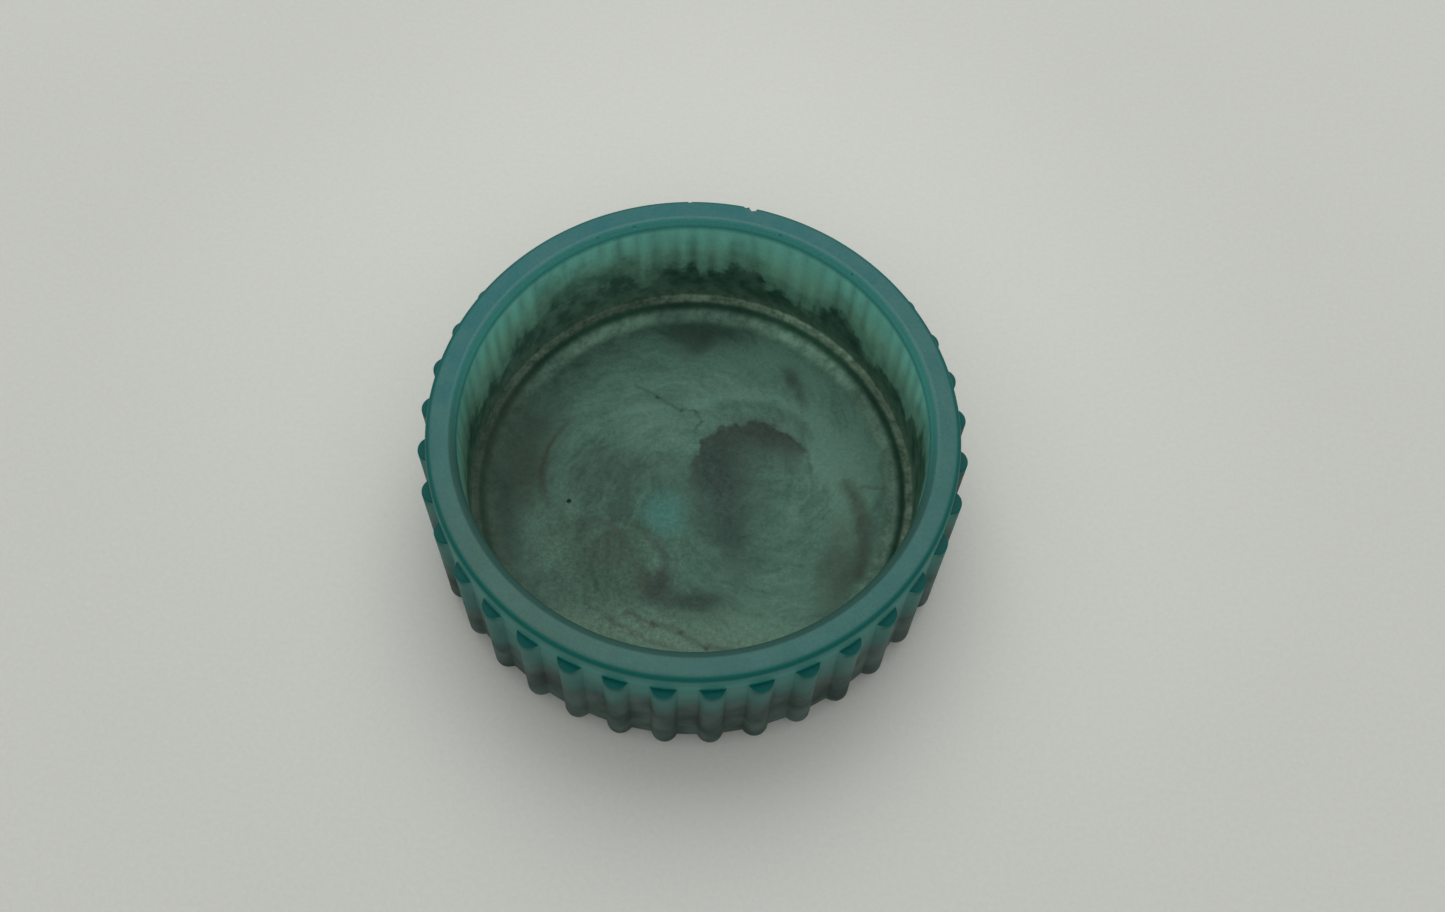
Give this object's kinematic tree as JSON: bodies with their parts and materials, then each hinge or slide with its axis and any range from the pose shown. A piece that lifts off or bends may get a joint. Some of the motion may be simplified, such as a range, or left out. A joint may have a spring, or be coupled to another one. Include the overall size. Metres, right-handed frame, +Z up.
{
  "type": "ribbed round trinket dish",
  "caption": "Round open dish of satin teal casting resin, with a thick wall, half-round ribs round the outside and a flat floor, for holding small things.",
  "frame": {"origin": "centre of the flat base, on the surface that the dish stands on", "axes": "+Z up along the axis of the round wall; a rib stands on +X, -X, +Y and -Y"},
  "size_m": [0.0932, 0.0932, 0.031],
  "materials": {
    "teal_resin": "satin, cloudy teal casting resin with smoky dark swirls"
  },
  "bodies": {
    "root": {"cast_dish": "teal_resin"}
  },
  "joints": []
}
